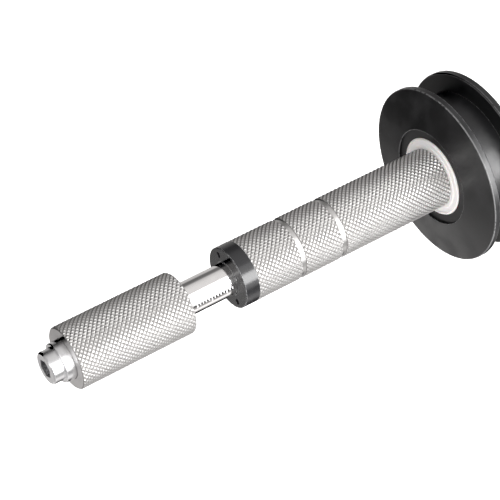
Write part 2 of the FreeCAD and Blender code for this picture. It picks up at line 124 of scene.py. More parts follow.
class Graph:
    """A node tree that is being wired up."""

    def __init__(self, tree: bpy.types.NodeTree) -> None:
        """Keep the tree that the nodes go into."""
        self.tree = tree

    def add(self, kind: str, **settings: object) -> bpy.types.Node:
        """Add a node.

        Args:
            kind: Blender's name of the node type.
            **settings: Properties to set on it.

        Returns:
            The new node.
        """
        node = self.tree.nodes.new(kind)
        for name, value in settings.items():
            setattr(node, name, value)
        return node

    def feed(self, socket: Socket, value: Value) -> None:
        """Link a socket to another, or give it a plain value.

        Args:
            socket: The input.
            value: What goes into it.
        """
        if isinstance(value, bpy.types.NodeSocket):
            self.tree.links.new(value, socket)
        else:
            socket.default_value = value

    def calc(self, operation: str, *values: Value, clamp: bool = False) -> Socket:
        """Add a Math node.

        Args:
            operation: Name of the operation.
            *values: Its inputs, in order.
            clamp: Whether the result is kept from 0 to 1.

        Returns:
            The result.
        """
        node = self.add("ShaderNodeMath", operation=operation, use_clamp=clamp)
        for socket, value in zip(node.inputs, values):
            self.feed(socket, value)
        return node.outputs[0]

    def mix(self, factor: Value, first: Value, second: Value) -> Socket:
        """Mix two colours.

        Args:
            factor: 0 for the first, 1 for the second.
            first: A colour, as a socket or (r, g, b, 1).
            second: The other colour.

        Returns:
            The mixed colour.
        """
        node = self.add("ShaderNodeMix", data_type="RGBA")
        colours = [s for s in node.inputs if s.type == "RGBA"]
        self.feed(node.inputs[0], factor)
        self.feed(colours[0], first)
        self.feed(colours[1], second)
        return next(s for s in node.outputs if s.type == "RGBA")

    def scaled(self, value: Value, low: float, high: float) -> Socket:
        """Map a value from 0..1 to a range.

        Args:
            value: The value.
            low: What 0 becomes.
            high: What 1 becomes.

        Returns:
            The mapped value.
        """
        node = self.add("ShaderNodeMapRange", clamp=True)
        self.feed(node.inputs["Value"], value)
        node.inputs["To Min"].default_value = low
        node.inputs["To Max"].default_value = high
        return node.outputs[0]

    def about(self, value: Value, mean: float, spread: float) -> Socket:
        """Map a value from 0..1 to a range about a mean."""
        return self.scaled(value, mean - spread, mean + spread)

    def step(self, value: Value, start: float, end: float) -> Socket:
        """Rise smoothly from 0 to 1.

        Args:
            value: The value.
            start: Where the rise starts.
            end: Where it ends.

        Returns:
            The risen value.
        """
        node = self.add("ShaderNodeMapRange", interpolation_type="SMOOTHSTEP")
        self.feed(node.inputs["Value"], value)
        node.inputs["From Min"].default_value = start
        node.inputs["From Max"].default_value = end
        return node.outputs[0]

    def noise(self, vector: Socket, scale: Value = 1.0, detail: float = 3.0) -> Socket:
        """Add a noise texture.

        Args:
            vector: Where it is read.
            scale: How many blotches there are to a unit.
            detail: How many finer layers it has.

        Returns:
            Its value, about 0.5 on average.
        """
        node = self.add("ShaderNodeTexNoise")
        self.feed(node.inputs["Vector"], vector)
        self.feed(node.inputs["Scale"], scale)
        node.inputs["Detail"].default_value = detail
        return node.outputs[0]

    def place(self, tree: bpy.types.NodeTree, **values: Value) -> bpy.types.Node:
        """Place a node group.

        Args:
            tree: The group.
            **values: Its inputs by name, with _ for each space.

        Returns:
            The group node.
        """
        node = self.add("ShaderNodeGroup", node_tree=tree)
        for name, value in values.items():
            self.feed(node.inputs[name.replace("_", " ")], value)
        return node

    def bump(self, height: Socket, distance_mm: float, normal: Socket | None = None) -> Socket:
        """Turn a height into a normal.

        Args:
            height: The height, from 0 to 1.
            distance_mm: How deep a height of 1 is.
            normal: A normal that this one is laid over.

        Returns:
            The normal.
        """
        node = self.add("ShaderNodeBump")
        node.inputs["Distance"].default_value = distance_mm * MM
        self.feed(node.inputs["Height"], height)
        if normal is not None:
            self.feed(node.inputs["Normal"], normal)
        return node.outputs[0]


class Effects:
    """Shader node groups that several finishes share, each built once."""

    def __init__(self) -> None:
        """Build every group."""
        self.axle_place = self._axle_place()
        self.turning_lines = self._turning_lines()
        self.fine_grain = self._fine_grain()
        self.edge_wear_and_highlight = self._edge_wear()
        self.knurl_relief = self._knurl_relief()
        self.handling = self._handling()

    @staticmethod
    def _open(
        name: str, inputs: dict[str, float], outputs: dict[str, str]
    ) -> tuple[Graph, dict[str, Socket], bpy.types.Node]:
        """Start a group.

        Args:
            name: The group's name.
            inputs: Float inputs and their usual values.
            outputs: Outputs and their socket types.

        Returns:
            The graph, its inputs by name, and its output node.
        """
        tree = bpy.data.node_groups.new(name, "ShaderNodeTree")
        for label, value in inputs.items():
            socket = tree.interface.new_socket(
                label, in_out="INPUT", socket_type="NodeSocketFloat")
            socket.default_value = value
        for label, kind in outputs.items():
            tree.interface.new_socket(label, in_out="OUTPUT", socket_type=kind)
        graph = Graph(tree)
        entry = graph.add("NodeGroupInput")
        return graph, {s.name: s for s in entry.outputs if s.name}, graph.add("NodeGroupOutput")

    def _blotches(self, graph: Graph, size: Socket, detail: float) -> Socket:
        """Noise in blotches of a size in millimetres.

        Args:
            graph: The group that it goes into.
            size: How wide a blotch is.
            detail: How many finer layers the noise has.

        Returns:
            Its value, about 0.5 on average.
        """
        place = graph.place(self.axle_place)
        scale = graph.calc("DIVIDE", 1.0, size)
        return graph.noise(place.outputs["Millimetres"], scale, detail)

    def _axle_place(self) -> bpy.types.NodeTree:
        """Where a point is about the axle: along it, out from it and round it.

        Returns:
            The group.
        """
        outputs = {"Millimetres": "NodeSocketVector", "Along": "NodeSocketFloat",
                   "Radius": "NodeSocketFloat", "Degrees": "NodeSocketFloat"}
        graph, _, result = self._open("axle_place", {}, outputs)
        coords = graph.add("ShaderNodeTexCoord")
        scale = graph.add("ShaderNodeVectorMath", operation="SCALE")
        graph.feed(scale.inputs[0], coords.outputs["Object"])
        scale.inputs["Scale"].default_value = 1 / MM
        split = graph.add("ShaderNodeSeparateXYZ")
        graph.feed(split.inputs[0], scale.outputs[0])
        x, y, z = split.outputs
        squares = graph.calc("ADD", graph.calc("MULTIPLY", y, y), graph.calc("MULTIPLY", z, z))
        graph.feed(result.inputs["Millimetres"], scale.outputs[0])
        graph.feed(result.inputs["Along"], x)
        graph.feed(result.inputs["Radius"], graph.calc("SQRT", squares))
        graph.feed(result.inputs["Degrees"], graph.calc("DEGREES", graph.calc("ARCTAN2", y, z)))
        return graph.tree

    def _turning_lines(self) -> bpy.types.NodeTree:
        """Fine rings that a lathe tool leaves, along a cylinder and across a face.

        Returns:
            The group.
        """
        drift = 0.05
        graph, given, result = self._open(
            "turning_lines", {"Pitch": 0.1}, {"Height": "NodeSocketFloat"})
        place = graph.place(self.axle_place)
        path = graph.calc("ADD", place.outputs["Along"], place.outputs["Radius"])
        split = graph.add("ShaderNodeSeparateXYZ")
        graph.feed(split.inputs[0], place.outputs["Millimetres"])
        vector = graph.add("ShaderNodeCombineXYZ")
        graph.feed(vector.inputs[0], graph.calc("DIVIDE", path, given["Pitch"]))
        for socket, across in zip(vector.inputs[1:], split.outputs[1:]):
            graph.feed(socket, graph.calc("MULTIPLY", across, drift))
        graph.feed(result.inputs[0], graph.noise(vector.outputs[0], detail=2.0))
        return graph.tree

    def _fine_grain(self) -> bpy.types.NodeTree:
        """Even grain, as of a blasted, moulded or anodised surface.

        Returns:
            The group.
        """
        graph, given, result = self._open(
            "fine_grain", {"Size": 0.2}, {"Height": "NodeSocketFloat"})
        graph.feed(result.inputs[0], self._blotches(graph, given["Size"], 4.0))
        return graph.tree

    def _edge_wear(self) -> bpy.types.NodeTree:
        """Mask of rounded edges, broken up by noise: paler for scuffing by handling, and on black
        pieces also a painted highlight.

        Returns:
            The group.
        """
        starts, full = 0.4, 0.62
        graph, given, result = self._open(
            "edge_wear_and_highlight", {"Amount": 0.5, "Size": 0.6}, {"Mask": "NodeSocketFloat"})
        edge = graph.add("ShaderNodeAttribute", attribute_name=WEAR_AND_HIGHLIGHT_LAYER)
        noise = self._blotches(graph, given["Size"], 4.0)
        more = graph.calc("SUBTRACT", given["Amount"], 0.5)
        broken_up = graph.step(graph.calc("ADD", noise, more), starts, full)
        graph.feed(result.inputs[0], graph.calc("MULTIPLY", edge.outputs["Fac"], broken_up))
        return graph.tree

    def _knurl_relief(self) -> bpy.types.NodeTree:
        """Height over the knurl's valleys: 0 in them, 1 on the crests and on plain metal.

        Returns:
            The group.
        """
        plain_below = -0.06
        graph, given, result = self._open(
            "knurl_relief", {"Crest": 9.5, "Depth": 0.33}, {"Height": "NodeSocketFloat"})
        place = graph.place(self.axle_place)
        valley = graph.calc("SUBTRACT", given["Crest"], given["Depth"])
        height = graph.calc("SUBTRACT", place.outputs["Radius"], valley)
        relief = graph.calc("DIVIDE", height, given["Depth"], clamp=True)
        plain = graph.calc("LESS_THAN", height, plain_below)
        graph.feed(result.inputs[0], graph.calc("MAXIMUM", relief, plain))
        return graph.tree

    def _handling(self) -> bpy.types.NodeTree:
        """Soft smudges that fingers leave.

        Returns:
            The group.
        """
        starts, full = 0.42, 0.68
        graph, given, result = self._open(
            "handling", {"Size": 6.0}, {"Mask": "NodeSocketFloat"})
        noise = self._blotches(graph, given["Size"], 5.0)
        graph.feed(result.inputs[0], graph.step(noise, starts, full))
        return graph.tree


def opaque(colour: Colour, factor: float = 1.0) -> tuple[float, float, float, float]:
    """Colour with alpha, darkened or lightened by a factor."""
    return (*(min(1.0, c * factor) for c in colour), 1.0)


@dataclass(frozen=True)
class Finish:
    """What every finish has: its slot, colour and mean roughness."""

    slot: Slot
    colour: Colour
    roughness: float

    def start(self) -> tuple[bpy.types.Material, Graph, bpy.types.Node]:
        """Make the material.

        Returns:
            The material, its graph and its Principled shader.
        """
        material = bpy.data.materials.new(self.slot.value)
        material.use_nodes = True
        material.diffuse_color = opaque(self.colour)
        graph = Graph(material.node_tree)
        return material, graph, material.node_tree.nodes["Principled BSDF"]

    def shades(self, spread: float) -> tuple[tuple[float, ...], tuple[float, ...]]:
        """Colour a little darker and a little lighter."""
        return opaque(self.colour, 1 - spread), opaque(self.colour, 1 + spread)

    def build(self, effects: Effects) -> bpy.types.Material:
        """Build the material from the shared effects."""
        raise NotImplementedError


@dataclass(frozen=True)
class KnurledAluminium(Finish):
    """Bright aluminium whose knurl has burnished crests and dull valleys, darkened by dirt and by
    painted shade.
    """

    crest_radius: float
    knurl_depth: float
    valley_dirt_and_shade_colour: Colour
    valley_roughness: float = 0.55
    valleys_end: float = 0.9
    grain_size: float = 0.09
    grain_depth: float = 0.004
    smudge_size: float = 7.0
    smudge_shade: float = 0.93
    smudge_roughness: float = 0.07

    def build(self, effects: Effects) -> bpy.types.Material:
        """Build the material.

        Args:
            effects: The shared node groups.

        Returns:
            The material.
        """
        material, graph, shader = self.start()
        relief = graph.place(effects.knurl_relief, Crest=self.crest_radius, Depth=self.knurl_depth)
        smudge = graph.place(effects.handling, Size=self.smudge_size).outputs[0]
        grain = graph.place(effects.fine_grain, Size=self.grain_size).outputs[0]
        height = graph.step(relief.outputs[0], 0.0, self.valleys_end)
        bright = graph.mix(smudge, opaque(self.colour), opaque(self.colour, self.smudge_shade))
        # The valleys get a darker colour: partly dirt, partly painted shade where the crests keep
        # the light out.
        colour = graph.mix(height, opaque(self.valley_dirt_and_shade_colour), bright)
        graph.feed(shader.inputs["Base Color"], colour)
        rough = graph.calc("ADD", graph.scaled(height, self.valley_roughness, self.roughness),
                           graph.scaled(smudge, 0.0, self.smudge_roughness))
        graph.feed(shader.inputs["Roughness"], rough)
        graph.feed(shader.inputs["Normal"], graph.bump(grain, self.grain_depth))
        shader.inputs["Metallic"].default_value = 1.0
        return material


@dataclass(frozen=True)
class TurnedMetal(Finish):
    """Metal as it comes off the lathe, with fine rings and paler edges: scuffing, and on black
    metal also a painted highlight.
    """

    line_pitch: float = 0.08
    line_depth: float = 0.002
    line_shade: float = 0.06
    line_roughness: float = 0.03
    metallic: float = 1.0
    ior: float = 1.5
    wear_and_highlight_colour: Colour = (0.8, 0.79, 0.78)
    wear: float = 0.3
    wear_size: float = 0.5
    smudge_size: float = 5.0
    smudge_roughness: float = 0.06

    def build(self, effects: Effects) -> bpy.types.Material:
        """Build the material.

        Args:
            effects: The shared node groups.

        Returns:
            The material.
        """
        material, graph, shader = self.start()
        lines = graph.place(effects.turning_lines, Pitch=self.line_pitch).outputs[0]
        smudge = graph.place(effects.handling, Size=self.smudge_size).outputs[0]
        worn = graph.place(effects.edge_wear_and_highlight, Amount=self.wear, Size=self.wear_size).outputs[0]
        base = graph.mix(lines, *self.shades(self.line_shade))
        # Paler rounded edges: scuffing, and on black metal also a painted highlight along the
        # chamfer.
        graph.feed(shader.inputs["Base Color"], graph.mix(worn, base, opaque(self.wear_and_highlight_colour)))
        rough = graph.calc("ADD", graph.about(lines, self.roughness, self.line_roughness),
                           graph.scaled(smudge, 0.0, self.smudge_roughness))
        graph.feed(shader.inputs["Roughness"], rough)
        graph.feed(shader.inputs["Normal"], graph.bump(lines, self.line_depth))
        shader.inputs["Metallic"].default_value = self.metallic
        shader.inputs["IOR"].default_value = self.ior
        return material


@dataclass(frozen=True)
class GraduatedRod(Finish):
    """Mirror-polished rod with a printed length scale: a long tick each fifth millimetre."""

    scale_from: float
    scale_to: float
    tick_angle: float = -78.5
    tick_pitch: float = 1.0
    tick_width: float = 0.28
    short_tick: float = 9.0
    long_tick: float = 15.0
    long_tick_every: float = 5.0
    ink_colour: Colour = (0.92, 0.92, 0.92)
    ink_roughness: float = 0.6
    line_pitch: float = 0.05
    line_depth: float = 0.0004
    line_roughness: float = 0.02
    smudge_size: float = 4.0
    smudge_shade: float = 0.97
    smudge_roughness: float = 0.05

    def _ticks(self, graph: Graph, place: bpy.types.Node) -> Socket:
        """Mask of the printed ticks.

        Args:
            graph: The material's graph.
            place: The node that says where a point is about the axle.

        Returns:
            1 on the ink, 0 beside it.
        """
        along = graph.calc("SUBTRACT", place.outputs["Along"], self.scale_from)
        last = self.scale_to + self.tick_width
        beyond = graph.calc("GREATER_THAN", place.outputs["Along"], last)
        before = graph.calc("LESS_THAN", along, 0.0)
        inside = graph.calc("SUBTRACT", 1.0, graph.calc("MAXIMUM", beyond, before))
        edge = self.tick_angle + 0.5 * self.long_tick
        side = graph.calc("SUBTRACT", place.outputs["Degrees"], edge)
        depth = graph.calc("MULTIPLY", side, -1.0)
        kinds = ((self.tick_pitch, self.short_tick), (self.long_tick_every, self.long_tick))
        marks = []
        for pitch, length in kinds:
            phase = graph.calc("MODULO", along, pitch)
            width = graph.calc("LESS_THAN", phase, self.tick_width)
            reach = graph.calc("LESS_THAN", depth, length)
            marks.append(graph.calc("MULTIPLY", width, reach))
        either = graph.calc("MAXIMUM", *marks)
        started = graph.calc("GREATER_THAN", depth, 0.0)
        return graph.calc("MULTIPLY", graph.calc("MULTIPLY", either, started), inside)

    def build(self, effects: Effects) -> bpy.types.Material:
        """Build the material.

        Args:
            effects: The shared node groups.

        Returns:
            The material.
        """
        material, graph, shader = self.start()
        place = graph.place(effects.axle_place)
        ink = self._ticks(graph, place)
        lines = graph.place(effects.turning_lines, Pitch=self.line_pitch).outputs[0]
        smudge = graph.place(effects.handling, Size=self.smudge_size).outputs[0]
        metal = graph.mix(smudge, opaque(self.colour), opaque(self.colour, self.smudge_shade))
        graph.feed(shader.inputs["Base Color"], graph.mix(ink, metal, opaque(self.ink_colour)))
        shine = graph.calc("ADD", graph.about(lines, self.roughness, self.line_roughness),
                           graph.scaled(smudge, 0.0, self.smudge_roughness))
        rough = graph.calc("MAXIMUM", shine, graph.calc("MULTIPLY", ink, self.ink_roughness))
        graph.feed(shader.inputs["Roughness"], rough)
        graph.feed(shader.inputs["Metallic"], graph.calc("SUBTRACT", 1.0, ink))
        graph.feed(shader.inputs["Normal"], graph.bump(lines, self.line_depth))
        return material


@dataclass(frozen=True)
class MouldedPlastic(Finish):
    """Plastic or rubber with fine grain, faint turning rings and paler edges: scuffing, and on
    black plastic also a painted highlight.
    """

    ring_pitch: float = 0.35
    ring_depth: float = 0.004
    ring_shade: float = 0.03
    grain_size: float = 0.12
    grain_depth: float = 0.004
    grain_roughness: float = 0.05
    wear_and_highlight_colour: Colour = (0.12, 0.12, 0.125)
    wear: float = 0.35
    wear_size: float = 0.8
    smudge_size: float = 9.0
    smudge_roughness: float = 0.08
    smudge_shade: float = 0.04
    subsurface: float = 0.0

    def build(self, effects: Effects) -> bpy.types.Material:
        """Build the material.

        Args:
            effects: The shared node groups.

        Returns:
            The material.
        """
        material, graph, shader = self.start()
        rings = graph.place(effects.turning_lines, Pitch=self.ring_pitch).outputs[0]
        grain = graph.place(effects.fine_grain, Size=self.grain_size).outputs[0]
        smudge = graph.place(effects.handling, Size=self.smudge_size).outputs[0]
        worn = graph.place(effects.edge_wear_and_highlight, Amount=self.wear, Size=self.wear_size).outputs[0]
        base = graph.mix(rings, *self.shades(self.ring_shade))
        soiled = graph.mix(smudge, base, opaque(self.colour, 1 + self.smudge_shade))
        # Paler rounded edges: scuffing, and on black plastic also a painted highlight along the
        # chamfer.
        graph.feed(shader.inputs["Base Color"], graph.mix(worn, soiled, opaque(self.wear_and_highlight_colour)))
        rough = graph.calc("ADD", graph.about(grain, self.roughness, self.grain_roughness),
                           graph.scaled(smudge, 0.0, self.smudge_roughness))
        graph.feed(shader.inputs["Roughness"], rough)
        ringed = graph.bump(rings, self.ring_depth)
        graph.feed(shader.inputs["Normal"], graph.bump(grain, self.grain_depth, ringed))
        if self.subsurface:
            shader.inputs["Subsurface Weight"].default_value = self.subsurface
            shader.inputs["Subsurface Scale"].default_value = MM
        return material


# ---- meshes ----------------------------------------------------------------------------------


@dataclass(frozen=True)
class Corner:
    """One corner of a turned section: station, radius and rounding, in millimetres."""

    x: float
    r: float
    rounding: float = 0.0


@dataclass(frozen=True)
class OutlinePoint:
    """One point of a section once its corners are rounded."""

    x: float
    r: float
    wear: float = 0.0


def outline(corners: Sequence[Corner], closed: bool) -> list[OutlinePoint]:
    """Round the corners of a section.

    Args:
        corners: The section's corners, in order.
        closed: Whether the last corner joins the first.

    Returns:
        The points, marked 1 on rounded corners, which the finishes lighten for scuffing and painted
        highlight.
    """
    points: list[OutlinePoint] = []
    count = len(corners)
    for i, corner in enumerate(corners):
        ends_here = not closed and i in (0, count - 1)
        here = Vector((corner.x, corner.r))
        if ends_here or corner.rounding <= 0:
            points.append(OutlinePoint(corner.x, corner.r))
            continue
        before, after = corners[i - 1], corners[(i + 1) % count]
        to_before = Vector((before.x, before.r)) - here
        to_after = Vector((after.x, after.r)) - here
        half_angle = 0.5 * to_before.angle(to_after)
        room = ROUNDING_ROOM * min(to_before.length, to_after.length)
        reach = min(corner.rounding / math.tan(half_angle), room)
        radius = reach * math.tan(half_angle)
        u, w = to_before.normalized(), to_after.normalized()
        centre = here + (u + w).normalized() * (radius / math.sin(half_angle))
        start, end = here + u * reach - centre, here + w * reach - centre
        turn = start.angle_signed(end)
        held = reach * HOLDING_EDGE
        if held < room:
            points.append(OutlinePoint(*(here + u * held)))
        for k in range(ROUNDING_STEPS + 1):
            swing = Matrix.Rotation(-turn * k / ROUNDING_STEPS, 2)
            points.append(OutlinePoint(*(centre + swing @ start), wear=1.0))
        if held < room:
            points.append(OutlinePoint(*(here + w * held)))
    return points


def around(x: float, r: float, angle: float) -> Vector:
    """Point at a station, radius and angle from +Z towards +Y, given in mm, in metres."""
    return Vector((x, r * math.sin(angle), r * math.cos(angle))) * MM


def put(name: str, data: bpy.types.ID) -> bpy.types.Object:
    """Make an object and link it to the scene.

    Args:
        name: The object's name.
        data: Its mesh, light or camera.

    Returns:
        The object.
    """
    thing = bpy.data.objects.new(name, data)
    bpy.context.scene.collection.objects.link(thing)
    return thing


class Workpiece:
    """A mesh on the bench, with one float layer that marks its rounded edges, for scuffing and
    painted highlight.
    """

    def __init__(self) -> None:
        """Start with no faces."""
        self.mesh = bmesh.new()
        self.wear = self.mesh.verts.layers.float.new(WEAR_AND_HIGHLIGHT_LAYER)

    def ring(self, point: OutlinePoint, segments: int) -> list[bmesh.types.BMVert]:
        """Add one ring of vertices about the axle.

        Args:
            point: The point that is turned.
            segments: Steps round the axle.

        Returns:
            The vertices, in order.
        """
        ring = []
        for k in range(segments):
            vert = self.mesh.verts.new(around(point.x, point.r, math.tau * k / segments))
            vert[self.wear] = point.wear
            ring.append(vert)
        return ring

    def turn(
        self, points: Sequence[OutlinePoint], closed: bool, segments: int = TURNED_SEGMENTS
    ) -> tuple[list[bmesh.types.BMVert], list[bmesh.types.BMVert]]:
        """Turn an outline about the axle.

        Args:
            points: The outline.
            closed: Whether its last point joins its first.
            segments: Steps round the axle.

        Returns:
            The first and the last ring of vertices.
        """
        rings = [self.ring(p, segments) for p in points]
        pairs = list(zip(rings, rings[1:] + rings[:1]))
        for near, far in pairs if closed else pairs[:-1]:
            for k in range(segments):
                n = (k + 1) % segments
                self.mesh.faces.new((near[k], near[n], far[n], far[k]))
        return rings[0], rings[-1]

    def zip_rings(
        self, first: list[bmesh.types.BMVert], second: list[bmesh.types.BMVert]
    ) -> None:
        """Join two rings with triangles.

        Args:
            first: One ring's vertices, in any order.
            second: The other's. Their number may differ.
        """
        def bearing(vert: bmesh.types.BMVert) -> float:
            """Angle of a vertex about the axle, from 0 to a full turn."""
            return math.atan2(vert.co.y, vert.co.z) % math.tau

        a, b = sorted(first, key=bearing), sorted(second, key=bearing)
        i = j = 0
        while i < len(a) or j < len(b):
            next_a = bearing(a[i]) if i < len(a) else math.inf
            next_b = bearing(b[j]) if j < len(b) else math.inf
            if next_a <= next_b:
                self.mesh.faces.new((a[i - 1], a[i], b[j - 1]))
                i += 1
            else:
                self.mesh.faces.new((a[i - 1], b[j], b[j - 1]))
                j += 1

    def finish(self, name: str) -> bpy.types.Object:
        """Weld, face outwards, shade and make the object.

        Args:
            name: The piece's name.

        Returns:
            The new object, linked to the scene.
        """
        bmesh.ops.remove_doubles(self.mesh, verts=self.mesh.verts, dist=WELD)
        bmesh.ops.dissolve_degenerate(self.mesh, edges=self.mesh.edges, dist=WELD)
        bmesh.ops.recalc_face_normals(self.mesh, faces=self.mesh.faces)
        data = bpy.data.meshes.new(name)
        self.mesh.to_mesh(data)
        self.mesh.free()
        shade(data)
        return put(name, data)


def shade(data: bpy.types.Mesh) -> None:
    """Shade a mesh smooth, apart from its sharp edges."""
    data.shade_smooth()
    data.set_sharp_from_angle(angle=SHARP_ANGLE)


def turned(name: str, corners: Sequence[Corner], closed: bool = True) -> bpy.types.Object:
    """Turn a section about the axle.

    Args:
        name: The piece's name.
        corners: The section. An open one starts and ends on the axis.
        closed: Whether the section is a closed loop.

    Returns:
        The new object.
    """
    work = Workpiece()
    work.turn(outline(corners, closed), closed)
    return work.finish(name)


def cutter(points: Sequence[Station], segments: int, centre: Vector) -> bpy.types.Object:
    """Turn a cutter about a line that is parallel to the axle.

    Args:
        points: Its outline, from the line and back to it.
        segments: Steps round the line.
        centre: A point of the line, in metres.

    Returns:
        The cutter.
    """
    work = Workpiece()
    work.turn([OutlinePoint(x, r) for x, r in points], closed=False, segments=segments)
    tool = work.finish("cutter")
    tool.data.transform(Matrix.Translation(centre))
    return tool


def hex_cutter(x0: float, x1: float, across_flats: float) -> bpy.types.Object:
    """Cutter for a hexagonal key socket on the axle.

    Args:
        x0: Its left end.
        x1: Its right end.
        across_flats: Its width.

    Returns:
        The cutter.
    """
    radius = across_flats / math.sqrt(3)
    return cutter([(x0, 0), (x0, radius), (x1, radius), (x1, 0)], 6, Vector())


def carve(piece: bpy.types.Object, tools: Sequence[bpy.types.Object]) -> None:
    """Cut solids out of a piece and delete them.

    Args:
        piece: What is cut.
        tools: The cutters.
    """
    for tool in tools:
        modifier = piece.modifiers.new("carve", "BOOLEAN")
        modifier.operation = "DIFFERENCE"
        modifier.solver = "EXACT"
        modifier.object = tool
    bpy.context.view_layer.update()
    carved = piece.evaluated_get(bpy.context.evaluated_depsgraph_get())
    data = bpy.data.meshes.new_from_object(carved)
    piece.modifiers.clear()
    piece.data = data
    shade(data)
    for tool in tools:
        bpy.data.objects.remove(tool)


@dataclass(frozen=True)
class Knurl:
    """Diamond knurl that two sets of helical grooves leave, in millimetres."""

    starts: tuple[int, int] = (39, 34)
    axial_periods: tuple[float, float] = (1.542, 1.438)
    depth: float = 0.33
    land: float = 0.3
    unevenness: float = 0.015

    def _stations(self) -> tuple[float, ...]:
        """Groove bottom, both land edges and the next groove bottom, in groove pitches."""
        return (-0.5, -0.5 * self.land, 0.5 * self.land, 0.5)

    def _sunk(self, p: int, q: int) -> float:
        """How far one land lies below the crest radius, from a hash of its place."""
        by_p, by_q, stretch = HASH_FACTORS
        return self.unevenness * (math.sin(by_p * p + by_q * q) * stretch % 1.0)

    def _place(self, across_p: float, across_q: float) -> tuple[float, float]:
        """Where a number of pitches across both sets of grooves is.

        Args:
            across_p: Pitches across the first set.
            across_q: Pitches across the second set.

        Returns:
            The station past the left end, and the angle.
        """
        (starts_p, starts_q), (period_p, period_q) = self.starts, self.axial_periods
        both = starts_q / period_p + starts_p / period_q
        x = (starts_q * across_p + starts_p * across_q) / both
        turns = (across_p / period_q - across_q / period_p) / both
        return x, math.tau * turns

    def lay(self, work: Workpiece, x0: float, x1: float, crest: float) -> None:
        """Cover a cylinder with diamonds, past both of its ends.

        Args:
            work: Where the faces go.
            x0: Left end.
            x1: Right end.
            crest: Radius over the lands.
        """
        stations = self._stations()
        span = len(stations) - 1
        starts_p, starts_q = self.starts
        verts: dict[tuple[int, int], bmesh.types.BMVert] = {}

        def vertex(p: int, q: int, a: int, b: int) -> bmesh.types.BMVert:
            """Vertex of one diamond, made when it is first asked for.

            Args:
                p: The diamond's place across the first set of grooves.
                q: Its place across the second set.
                a: The vertex's station across the first set.
                b: Its station across the second set.

            Returns:
                The vertex.
            """
            turns = (span * p + a) // (span * starts_p)
            key = (span * (p - turns * starts_p) + a, span * (q + turns * starts_q) + b)
            if key not in verts:
                x, angle = self._place(p + stations[a], q + stations[b])
                on_land = a in (1, 2) and b in (1, 2)
                sunk = self._sunk(key[0] // span, key[1] // span) if on_land else self.depth
                verts[key] = work.mesh.verts.new(around(x0 + x, crest - sunk, angle))
            return verts[key]

        x_per_q = self._place(0, 1)[0]
        margin = 2 * max(self.axial_periods)
        for p in range(starts_p):
            start = -margin - self._place(p, 0)[0]
            end = x1 - x0 + margin - self._place(p, 0)[0]
            for q in range(math.floor(start / x_per_q), math.ceil(end / x_per_q) + 1):
                self._diamond(work, vertex, p, q)

    @staticmethod
    def _diamond(
        work: Workpiece, vertex: Callable[[int, int, int, int], bmesh.types.BMVert], p: int, q: int
    ) -> None:
        """Add one diamond's land, four slopes and four creased corners.

        Args:
            work: Where the faces go.
            vertex: Gives the diamond's vertices.
            p: The diamond's place across the first set of grooves.
            q: Its place across the second set.
        """
        new = work.mesh.faces.new
        for a in range(3):
            for b in range(3):
                square = [vertex(p, q, a + s, b + t) for s, t in ((0, 0), (1, 0), (1, 1), (0, 1))]
                if 1 in (a, b):
                    new(square)
                    continue
                first = 0 if a == b else 1
                new((square[first], square[first + 1], square[first + 2]))
                new((square[first], square[first + 2], square[(first + 3) % 4]))


@dataclass(frozen=True)
class KnurledTube:
    """A tube with a knurled outside: its outer profile clips the knurl, its bore is turned."""

    name: str
    knurl: Knurl
    profile: tuple[Station, ...]
    bore: tuple[Corner, ...]

    def _limit(self, x: float) -> float:
        """Largest radius that the outer profile allows.

        Args:
            x: The station.

        Returns:
            The radius.
        """
        for (x0, r0), (x1, r1) in zip(self.profile, self.profile[1:]):
            if x <= x1:
                return r0 + (r1 - r0) * max(0.0, x - x0) / (x1 - x0)
        return self.profile[-1][1]

    def _stations(self) -> list[float]:
        """Where the skin is cut so that it can follow the profile.

        Returns:
            The stations, from left to right.
        """
        between = 3
        stations = []
        for (x0, r0), (x1, r1) in zip(self.profile, self.profile[1:]):
            steps = between if r0 != r1 else 1
            stations += [x0 + (x1 - x0) * k / steps for k in range(steps)]
        return [*stations, self.profile[-1][0]]

    def build(self) -> bpy.types.Object:
        """Build the mesh.

        Returns:
            The new object.
        """
        cut_gap, join_gap = 1e-8, 2e-6
        work = Workpiece()
        mesh = work.mesh
        x0, x1 = self.profile[0][0], self.profile[-1][0]
        self.knurl.lay(work, x0, x1, max(r for _, r in self.profile))
        for x in self._stations():
            bmesh.ops.bisect_plane(
                mesh, geom=[*mesh.verts, *mesh.edges, *mesh.faces], dist=cut_gap,
                plane_co=(x * MM, 0, 0), plane_no=(1, 0, 0),
                clear_inner=x == x0, clear_outer=x == x1)
        bmesh.ops.remove_doubles(mesh, verts=mesh.verts, dist=join_gap)
        edges = (self.profile[1][0], self.profile[-2][0])
        for vert in mesh.verts:
            radius = math.hypot(vert.co.y, vert.co.z)
            x = vert.co.x / MM
            limit = self._limit(x) * MM
            if radius > limit:
                vert.co.yz = vert.co.yz * (limit / radius)
            vert[work.wear] = float(not edges[0] < x < edges[1])
        rim = [v for v in mesh.verts if v.is_boundary]
        middle = 0.5 * (x0 + x1) * MM
        left, right = work.turn(outline(self.bore, closed=False), closed=False)
        work.zip_rings([v for v in rim if v.co.x < middle], left)
        work.zip_rings([v for v in rim if v.co.x > middle], right)
        return work.finish(self.name)


# ---- the hub ---------------------------------------------------------------------------------


@dataclass(frozen=True)
class Room:
    """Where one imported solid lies: its ends along the axle and its radius, in millimetres."""

    left: float
    right: float
    radius: float

    @classmethod
    def of(cls, node: str) -> "Room":
        """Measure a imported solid.

        Args:
            node: The solid's name.

        Returns:
            Its room.
        """
        low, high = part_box(node)
        radius = max(-low.y, -low.z, high.y, high.z)
        return cls(*(round(value / MM, 3) for value in (low.x, high.x, radius)))


